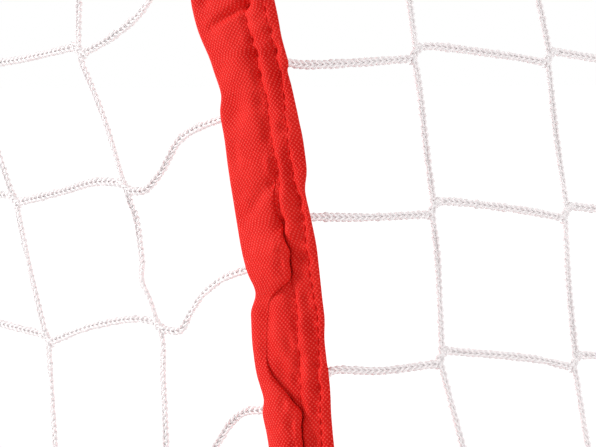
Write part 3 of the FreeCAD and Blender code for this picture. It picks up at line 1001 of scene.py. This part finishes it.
def pixel_run(pixels, height):
    """Pictured points as (distance down the seam, distance across it), at one height over the side net."""
    rows = []
    for x, y in pixels:
        place = on_plane(x, y, hero_top + hero_out * height, hero_out) - hero_top
        rows.append((place @ hero_down, place @ hero_across))
    return np.array(rows)


def hero_profile(points, t, usual):
    """Value across the tape along t: from the photograph inside the pictured stretch, usual outside it."""
    points = smooth_curve(points, 4 * len(points))
    order = np.argsort(points[:, 0])
    inside = np.interp(t, points[order, 0], points[order, 1])
    before = t - (points[order[0], 0] - BLEND_LENGTH)
    after = points[order[-1], 0] + BLEND_LENGTH - t
    weight = ease(np.clip(before / BLEND_LENGTH, 0, 1) * np.clip(after / BLEND_LENGTH, 0, 1))
    return inside * weight + usual * (1 - weight)


def line_distance(a, t, line):
    """Distance to a line drawn in (t, a), and the place along it from 0 to 1."""
    best = np.full(a.shape, 1e9)
    place = np.zeros(a.shape)
    lengths = along_lengths(line)
    for k in range(len(line) - 1):
        start, step = line[k], line[k + 1] - line[k]
        s = np.clip(((t - start[0]) * step[0] + (a - start[1]) * step[1]) / (step @ step), 0, 1)
        distance = np.hypot(t - (start[0] + step[0] * s), a - (start[1] + step[1] * s))
        closer = distance < best
        best = np.where(closer, distance, best)
        place = np.where(closer, (lengths[k] + (lengths[k + 1] - lengths[k]) * s) / lengths[-1], place)
    return best, place


def tape_lines(t, shift, length, seed):
    """Lines down a tape: its edge, stitched rows, roll and fold, each as the distance across."""
    look_t = t + shift
    wide = np.arange(0, length + 200, 1.0)

    def usual(middle, scale, size, k):
        line = smooth_noise(length + 200, 1.0, scale, seed * 10 + k)[:len(wide)]
        return middle + np.interp(t, wide, line) * size

    run = SimpleNamespace()
    run.edge = hero_profile(pixel_run(RIGHT_EDGE, EDGE_HEIGHT), look_t, usual(*USUAL["edge"]))
    run.outer = hero_profile(pixel_run(OUTER_ROW, ROW_HEIGHT), look_t, usual(*USUAL["outer"]))
    run.inner = hero_profile(pixel_run(INNER_ROW, ROW_HEIGHT), look_t, usual(*USUAL["inner"]))
    run.fold = hero_profile(pixel_run(LEFT_EDGE, FOLD_HEIGHT), look_t, usual(*USUAL["fold"]))
    roll_rim = pixel_run([(x, y) for x, y, _ in ROLL], RIM_HEIGHT)
    roll_rise = np.stack([roll_rim[:, 0], [rise for _, _, rise in ROLL]], axis=1)
    rim = np.clip(hero_profile(roll_rim, look_t, usual(*USUAL["rim"])), 0, run.fold - 2.4)
    run.rise = np.clip(hero_profile(roll_rise, look_t, usual(*USUAL["rise"])), 0.012, 1.0)
    run.rim = np.maximum(rim, run.inner + 1.6 - 3.2 * run.rise)
    run.lift = ROLL_HEIGHT * run.rise
    run.lip = LIP_SHARE * run.lift
    run.under = np.minimum(run.rim + run.lip + 0.4 * run.rise, run.fold - 1.2)
    run.edge_lift = EDGE_SHARE * run.lift
    run.drawn = run.fold - LEAN * run.edge_lift
    return run


def ground(run, column):
    """Height of the cloth that lies on the net, without the roll."""
    from_edge = np.clip(column - run.edge, 0, None)
    rounded = BAND_HEIGHT + BAND_RISE * (1 - np.exp(-from_edge / BAND_RISE_LENGTH))
    full = np.clip((column - run.inner) / (run.fold - run.inner), 0, 1)
    belly = (BELLY_HEIGHT - 0.9 * run.rise) * np.sin(math.pi * full ** 0.75)
    left = np.clip((run.drawn - column) / FOLD_ROUND, 0, 1)
    return rounded + belly - FOLD_DROP * (1 - np.sqrt(1 - (1 - left) ** 2))


def tape_columns(run):
    """Cloth from its hem over the outside, the rolled lip and the fold to the inside edge.

    Gives the distances across, the heights, the kind of each column and the columns of the stitched rows.
    """
    columns, heights, kinds, row_at = [], [], [], []

    def put(column, height, kind):
        columns.append(column)
        heights.append(height)
        kinds.append(kind)

    def shares(count, first=0.0, last=1.0):
        return np.linspace(first, last, count, endpoint=False)

    level = np.ones(len(run.edge))
    for q in shares(6):
        put(run.edge + HEM_WIDTH * (1 - q) ** 1.3, level * (HEM_HEIGHT + 0.45 * q ** 3), TURNED_IN)
    for near, far, count, swell in ((run.edge, run.outer, 14, 0.0), (run.outer, run.inner, 24, 0.5),
                                    (run.inner, run.under, 34, 0.0)):
        row_at.append(len(columns))
        for q in shares(count):
            column = near + (far - near) * q
            put(column, ground(run, column) + swell * math.sin(math.pi * q), OUTSIDE)
    lip_edge = run.rim + run.lip
    for q in shares(4):
        low = ground(run, run.under) * (1 - q) + (ground(run, lip_edge) + run.lift - 2 * run.lip) * q
        put(run.under + (lip_edge - run.under) * q, low, OUTSIDE)
    for angle in shares(10, -math.pi / 2, math.pi / 2):
        column = run.rim + run.lip * (1 - math.cos(angle))
        put(column, ground(run, column) + run.lift - run.lip * (1 - math.sin(angle)), OUTSIDE)
    for q in shares(40):
        column = lip_edge + (run.drawn - lip_edge) * q
        roll = run.lift * (1 - (1 - EDGE_SHARE) * q ** 1.4) + 0.5 * run.rise * math.sin(math.pi * q)
        put(column, ground(run, column) + roll, OUTSIDE)
    for angle in shares(10, 0, math.pi):
        sink = (1 - math.cos(angle)) / 2
        height = (HEM_HEIGHT + run.edge_lift) * (1 - sink) + INNER_HEIGHT * sink
        put(run.drawn - 0.15 + 0.55 * math.sin(angle), height, INSIDE)
    for q in np.linspace(0, 1, 18):
        put(run.drawn - 0.2 - (run.drawn - 3.6) * q, level * (INNER_HEIGHT - 0.1 * q), INSIDE)
    return np.stack(columns, axis=1), np.stack(heights, axis=1), np.array(kinds), row_at


def tape_dips(t, shift, end, run, rng):
    """Puckers beside the stitched rows: the pictured ones, and random ones outside the pictured stretch."""
    dips = [(*pixel_run([(x, y)], PUCKER_HEIGHT)[0], PUCKER_SHARE * depth, long, wide)
            for x, y, depth, long, wide in PUCKERS]
    for line in (run.outer, run.inner):
        s = tape_end + PUCKER_MARGIN
        while s < end - PUCKER_MARGIN:
            if s + shift < PICTURED_FROM or s + shift > PICTURED_TO:
                dips.append((s + shift, np.interp(s, t, line) + rng.normal(0, 0.7),
                             rng.uniform(*PUCKER_DEPTH), rng.uniform(*PUCKER_LENGTH),
                             rng.uniform(*PUCKER_WIDTH)))
            s += rng.uniform(*PUCKER_GAP)
    return dips


def soften(a, b, tt, shift, kinds, row_at, dips, seed):
    """Heights with the pull of the stitches, puckers, pleats, broad waves and creases of the cloth."""
    outside = (kinds == OUTSIDE)[None, :]
    for key, depth in ((1, 0.35), (2, 0.4)):
        near = np.exp(-((a - a[:, row_at[key]][:, None]) / 0.95) ** 2)
        pull = 0.72 + 0.28 * np.cos(2 * math.pi * (tt + 1.1 * key) / STITCH_STEP)
        uneven = 1 + 0.55 * field(tt, a * 0 + 0.5, 6.5, 5.0, seed + key)
        b = b - depth * near * pull * uneven * outside
    for at_t, at_a, depth, long, wide in dips:
        b = b - depth * np.exp(-((tt + shift - at_t) / long) ** 2 - ((a - at_a) / wide) ** 2) * outside
    band = np.exp(-((a - (a[:, row_at[1]] + a[:, row_at[2]])[:, None] / 2) / 5.2) ** 4)
    b = b + ripples(tt, a, PLEATS, seed) * band * outside
    b = b + ripples(tt, a, BROAD_WAVES, seed) * ((1 - band) * outside)
    b = b + ripples(tt, a, INSIDE_WAVES, seed) * (kinds == INSIDE)[None, :]
    for pixels, depth, wide in CREASES:
        distance, place = line_distance(a, tt + shift, smooth_curve(pixel_run(pixels, CREASE_HEIGHT), 20))
        fade = np.sin(math.pi * np.clip(place, 0.04, 0.96)) ** 0.5
        b = b - depth * np.exp(-(distance / wide) ** 2) * fade * outside
    return b


def tape_stitches(t, points, end, outward, row_at, rng):
    """Two rows of lockstitches lying in their dips."""
    spots = []
    for key, phase in ((1, 0.0), (2, 1.3)):
        s = tape_end + 2.0 + phase
        while s < end - 3:
            spot = []
            for place, height in ((s, -0.22), (s + TAPE_STITCH, 0.16), (s + 2 * TAPE_STITCH, -0.22)):
                row = int(np.argmin(np.abs(t - place)))
                spot.append(points[row, row_at[key]] + outward * height)
            spots.append(spot)
            s += STITCH_STEP + rng.normal(0, 0.08)
    threads = Yarn()
    for low, top, far in spots:
        side = unit(np.cross(outward, unit(far - low)))
        centres = np.stack([low, (low + top) / 2 + outward * 0.1, top, (top + far) / 2 + outward * 0.1, far])
        radii = np.array([[0.18, 0.27, 0.29, 0.27, 0.18]])
        threads.add(*ring_tube(centres[None], side[None], outward[None], radii, 6), rng.uniform(-1, 1))
    return threads


def make_tape(name, side, shift, seed):
    """Folded tape with its stitches, and its mean flat width."""
    high, down, across, outward, length = seam_frame(side)
    start, end = tape_end, length - tape_end
    t = np.append(np.arange(start, end, COARSE_STEP), end)
    if side == 1:
        t = np.concatenate([np.arange(start, FINE_FROM, COARSE_STEP),
                            np.arange(FINE_FROM, FINE_TO, FINE_STEP),
                            np.arange(FINE_TO, end, COARSE_STEP), [end]])
    rng = np.random.default_rng(seed)
    run = tape_lines(t, shift, length, seed)
    a, b, kinds, row_at = tape_columns(run)
    tt = np.repeat(t[:, None], a.shape[1], axis=1)
    b = soften(a, b, tt, shift, kinds, row_at, tape_dips(t, shift, end, run, rng), seed)
    points = high + tt[..., None] * down + a[..., None] * across + b[..., None] * outward

    steps = np.linalg.norm(np.diff(points, axis=1), axis=2)
    cloth_x = np.concatenate([np.zeros((len(t), 1)), np.cumsum(steps, axis=1)], axis=1)
    cloth_x = cloth_x - cloth_x[:, row_at[2]:row_at[2] + 1]
    cloth = np.stack([cloth_x, tt, np.zeros_like(tt)], axis=-1).reshape(-1, 3)
    faces = grid_faces(len(t), a.shape[1])
    if side == -1:
        faces = faces[:, ::-1]
    tape = add_object(name, points.reshape(-1, 3), faces, red_cloth, attributes={"cloth": cloth})
    stitches = tape_stitches(t, points, end, outward, row_at, rng).build(name + "_stitches", red_thread)
    return tape, stitches, float(np.mean(steps.sum(axis=1)))


# Fabric sleeves that hang the nets on the tubes

SLEEVE_STEP = 2.6
ARC_STEP = 1.3
STRIP_STEP = 1.4
HEM_POINTS = ((5.0, 0.75), (1.5, 0.7), (0.1, 0.35))  # back from the flange's edge, and into the hem
STITCH_ROWS = (3.6, 9.4)                             # from the flange's edge
# Waves of the cloth: slant, length along the tube and round it, seed and height
SLEEVE_WAVES = ((0.5, 17.0, 13.0, 0, 0.85), (-0.4, 5.2, 9.0, 50, 0.30))
SLEEVE_STITCH = 1.2                                  # half the length of one stitch on a sleeve


def arc_points(e1, e2, start, end, radius):
    count = max(2, int(abs(end - start) * radius / ARC_STEP))
    return [(e1 * math.cos(v) + e2 * math.sin(v)) * radius for v in np.linspace(start, end, count)]


def strip_points(along, out, start, end, height):
    count = max(2, int(abs(end - start) / STRIP_STEP))
    return [along * v + out * height for v in np.linspace(start, end, count)]


def sleeve_paths(flanges):
    """Cloth paths across a tube. Each starts and ends in a turned-in hem at a flange's edge."""
    meet = math.radians(53.1)
    root = sleeve_radius * math.cos(math.radians(36.9)) + 1.5
    tip = flange_reach - 0.6
    first, last = flanges[0], flanges[-1]
    e1, e2 = first[1], -first[0]

    def hem(flange, height, towards):
        along, out = flange
        return [along * (flange_reach - back) + out * (height + towards * sink) for back, sink in HEM_POINTS]

    around = 2 * math.pi - meet
    if len(flanges) == 1:
        path = hem(first, flange_outer, -1) + strip_points(*first, tip, 1.0, flange_outer)
        path += arc_points(e1, e2, 0.05, around, sleeve_radius)
        path += strip_points(*first, root, tip, flange_inner) + hem(first, flange_inner, 1)[::-1]
        return [np.array(path)]
    turn = math.atan2(last[1] @ e2, last[1] @ e1)
    outer = hem(first, flange_outer, -1) + strip_points(*first, tip, 1.0, flange_outer)
    outer += arc_points(e1, e2, 0.05, turn - 0.05, sleeve_radius)
    outer += strip_points(*last, 1.0, tip, flange_outer) + hem(last, flange_outer, -1)[::-1]
    inner = hem(last, flange_inner, 1) + strip_points(*last, tip, root, flange_inner)
    inner += arc_points(e1, e2, turn + meet, around, sleeve_radius)
    inner += strip_points(*first, root, tip, flange_inner) + hem(first, flange_inner, 1)[::-1]
    return [np.array(outer), np.array(inner)]


def sleeve_lift(zz, ss, path, length, layer, seed):
    """How far each point of a sleeve's cloth stands off its path: pleats, stitched rows and rolled ends."""
    distance = np.linalg.norm(path, axis=1)
    around = (distance < sleeve_radius + 0.5)[None, :]
    lift = ripples(zz, ss, SLEEVE_WAVES, seed + layer)
    lift = lift * np.where(around, 1.0, 0.35)
    lift = np.where(around, np.maximum(lift, -0.55) + 0.25, lift)
    for row in STITCH_ROWS:
        depth = np.exp(-(distance - math.hypot(flange_reach - row, 10)) ** 2)
        depth = np.where(distance > 16, depth, 0)[None, :]
        lift = lift - 0.45 * depth * (0.7 + 0.3 * np.cos(2 * math.pi * zz / STITCH_STEP))
    return lift - 0.55 * np.exp(-np.minimum(zz, length - zz) / 0.35) * np.where(around, 1.0, 0.3)


def sleeve_layer(path, z, axis, flanges, length, layer, seed):
    """Points of one cloth layer, and its own coordinates."""
    tangent = np.gradient(path, axis=0)
    tangent /= np.linalg.norm(tangent, axis=1)[:, None]
    normal = np.cross(tangent, axis)
    if np.mean(np.sum(normal * path, axis=1)) < 0:
        normal = -normal
    zz, ss = np.meshgrid(z, along_lengths(path), indexing="ij")
    lift = sleeve_lift(zz, ss, path, length, layer, seed)
    edge_wave = field(zz, ss * 0 + 0.5, 14.0, 5.0, seed + 90 + layer) * 0.9
    spill = 0
    for along, _ in flanges:
        share = np.clip((path @ along - 20.0) / (flange_reach - 20.0), 0, 1) * (path @ along > 18)
        spill = spill + (share[None, :] * edge_wave)[..., None] * along
    points = axis * zz[..., None] + path[None] + normal[None] * lift[..., None] + spill
    return points.reshape(-1, 3), np.stack([ss, zz, np.zeros_like(ss)], axis=-1).reshape(-1, 3)


def sleeve_stitches(first, axis, flanges, length, seed):
    """Two rows of stitches on both faces of each flange."""
    threads = Yarn()
    rng = np.random.default_rng(seed)
    for along, out in flanges:
        for height, sign in ((flange_outer, 1), (flange_inner, -1)):
            for row in STITCH_ROWS:
                place = 1.5 + rng.uniform(0, 2)
                while place < length - 4:
                    middle = first + axis * (place + SLEEVE_STITCH) + along * (flange_reach - row)
                    middle = middle + out * (height + sign * 0.05)
                    sink = out * sign * 0.45
                    reach = axis * SLEEVE_STITCH
                    centres = np.stack([middle - reach - sink, middle, middle + reach - sink])
                    tube = ring_tube(centres[None], along[None], out[None], np.array([[0.2, 0.3, 0.2]]), 4)
                    threads.add(*tube, rng.uniform(-1, 1))
                    place += STITCH_STEP
    return threads


def make_sleeve(label, start, end, flanges, seed, tee):
    """Sewn sleeve along one tube, with a window round the tee where the tube has one."""
    axis = unit(end - start)
    first = start + axis * sleeve_inset
    length = np.linalg.norm(end - start) - 2 * sleeve_inset
    z = np.linspace(0, length, int(length / SLEEVE_STEP) + 1)
    z = np.concatenate([[0.0, 0.25, 0.9], z[1:-1], [length - 0.9, length - 0.25, length]])
    verts, faces, cloth = [], [], []
    count = 0
    flat_area = 0.0
    for layer, path in enumerate(sleeve_paths(flanges)):
        points, layer_cloth = sleeve_layer(path, z, axis, flanges, length, layer, seed)
        points = first + points
        quads = grid_faces(len(z), len(path))
        if tee is not None:
            off_tee = np.abs(z[quads[:, 0] // len(path)] - (tee - first) @ axis)
            distance = np.linalg.norm(path, axis=1)[quads[:, 0] % len(path)]
            quads = quads[(off_tee >= tee_window_half) | (distance >= tee_clear + 1.0)]
        verts.append(points)
        faces.append(quads + count)
        cloth.append(layer_cloth)
        corners = points[quads]
        cross = np.cross(corners[:, 2] - corners[:, 0], corners[:, 3] - corners[:, 1])
        flat_area += 0.5 * np.linalg.norm(cross, axis=1).sum()
        count += len(points)
    sleeve = add_object(label, np.vstack(verts), np.vstack(faces), red_cloth,
                        attributes={"cloth": np.vstack(cloth)})
    threads = sleeve_stitches(first, axis, flanges, length, seed + 7)
    return sleeve, threads.build(label + "_stitches", red_thread), flat_area, length


# Screws

SCREW_REACH = 29.0
TEE_SCREW_OFFSET = 14.5
SCREW_PROFILE = ((1.2, 1.12), (2.3, 0.95), (3.0, 0.55), (3.2, 0.1), (3.2, -0.3))  # radius and height
SCREW_SIDES = 32
RECESS_RADIUS = 2.0
RECESS_DEPTH = 0.75
RECESS_FLOOR = 0.35


def screw_places():
    """Place, outward normal and one flat direction of each screw: one in the flat of each socket."""
    places = []
    for side in (-1, 1):
        along, side_out = side_plane(side)
        to_middle = vec(-side, 0, 0)
        sockets = {"front_top": (to_middle, -UP, along), "front_base": (UP, along),
                   "rear_base": (-along, to_middle), "rear_top": (-along, to_middle)}
        for name, directions in sockets.items():
            for direction in directions:
                flat = UP if abs(direction[2]) < 0.5 else side_out
                place = POINTS[side][name] + direction * SCREW_REACH + flat * socket_half
                places.append((place, flat, direction))
    for centre in (vec(0, front_y + base_depth, base_z), vec(0, front_y + shelf_depth, top_z)):
        for across in (-TEE_SCREW_OFFSET, TEE_SCREW_OFFSET):
            places.append((centre + vec(across, 0, 0) + BACK * socket_half, BACK, vec(1, 0, 0)))
    return places


def socket_screws():
    """Pan-head screws with a cross recess."""
    verts, faces, count = [], [], 0
    for index, (place, normal, direction) in enumerate(screw_places()):
        e1 = unit(np.cross(normal, direction))
        e2 = np.cross(normal, e1)
        points = []
        for radius, height in SCREW_PROFILE:
            for k in range(SCREW_SIDES):
                angle = 2 * math.pi * k / SCREW_SIDES
                lobe = abs(math.cos(2 * (angle - index * 0.7)))
                lower = RECESS_DEPTH * max(0.0, (lobe - 0.72) / 0.28) if radius < RECESS_RADIUS else 0.0
                out = (e1 * math.cos(angle) + e2 * math.sin(angle)) * radius
                points.append(place + out + normal * (height - lower))
        centre = count + len(points)
        verts.append(np.vstack([points, place + normal * RECESS_FLOOR]))
        rings = grid_faces(len(SCREW_PROFILE), SCREW_SIDES, wrap=True) + count
        faces += [tuple(f) for f in rings]
        faces += [(centre, count + (k + 1) % SCREW_SIDES, count + k) for k in range(SCREW_SIDES)]
        count = centre + 1
    return add_object("socket_screws", np.vstack(verts), faces, zinc_steel)


# Assembly

cord_inset = net_edge + 4.0
for label, node_name, panel, insets in (
        ("back_net_cord", "back_netting", make_back_net(), (cord_inset, 0.0, cord_inset, 0.0)),
        ("right_net_cord", "right_netting", make_side_net(1), (cord_inset, SIDE_END, cord_inset, cord_inset)),
        ("left_net_cord", "left_netting", make_side_net(-1), (cord_inset, SIDE_END, cord_inset, cord_inset)),
        ("top_net_cord", "top_netting", make_top_net(), (cord_inset,) * 4)):
    panel.place_joints()
    yarn = Yarn()
    panel.knit(yarn)
    panel.edge(yarn, insets)
    net = yarn.build(label, white_yarn)
    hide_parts(node_name)

for name, side, shift, seed in (("right", 1, 0.0, 5), ("left", -1, 61.0, 8)):
    tape, stitches, flat_width = make_tape(name + "_seam_tape", side, shift, seed)
    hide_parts(name + "_rear_seam")


# Sleeves: node, its tube, the tube's ends, the flanges as (direction, outward normal), and the tee's centre
back_up, back_out = back_plane()
left, right = POINTS[-1], POINTS[1]
base_middle = vec(0, front_y + base_depth, base_z)
top_middle = vec(0, front_y + shelf_depth, top_z)
sleeves = []
for side, name in ((-1, "left"), (1, "right")):
    low, high = POINTS[side]["front_base"], POINTS[side]["front_top"]
    along, side_out = side_plane(side)
    inward = np.cross(UP, along) * side
    sleeves += [
        (name + "_post_sleeve", name + "_post", low, high, ((along, side_out),), None),
        ("base_" + name + "_sleeve", name + "_base_rail", low, POINTS[side]["rear_base"],
         ((UP, side_out),), None),
        ("top_" + name + "_sleeve", name + "_top_arm", high, POINTS[side]["rear_top"],
         ((-UP, side_out), (inward, UP)), None),
    ]
sleeves += [
    ("crossbar_sleeve", "crossbar", left["front_top"], right["front_top"], ((BACK, UP),), None),
    ("base_rear_sleeve", "base_rear_tube", left["rear_base"], right["rear_base"], ((back_up, back_out),),
     base_middle),
    ("top_rear_sleeve", "top_rear_tube", left["rear_top"], right["rear_top"],
     ((-back_up, back_out), (-BACK, UP)), top_middle),
]
for index, (node_name, tube_name, start, end, flanges, tee) in enumerate(sleeves):
    cloth, stitches, area, length = make_sleeve(node_name + "_cloth", start, end, flanges,
                                                200 + index * 11, tee)
    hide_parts(node_name)

socket_screws()

finishes = {"red_tube": red_paint, "black_moulding": black_plastic, "foot_rubber": black_rubber}
slot_of = {part["node"]: part["material_slot"] for part in frame["record"].get("subparts", [])}
for name, obj in frame["nodes"].items():
    material = finishes.get(slot_of.get(name))
    if material is None:
        continue
    if not obj.material_slots:
        obj.data.materials.append(material)
    for slot in obj.material_slots:
        slot.material = material
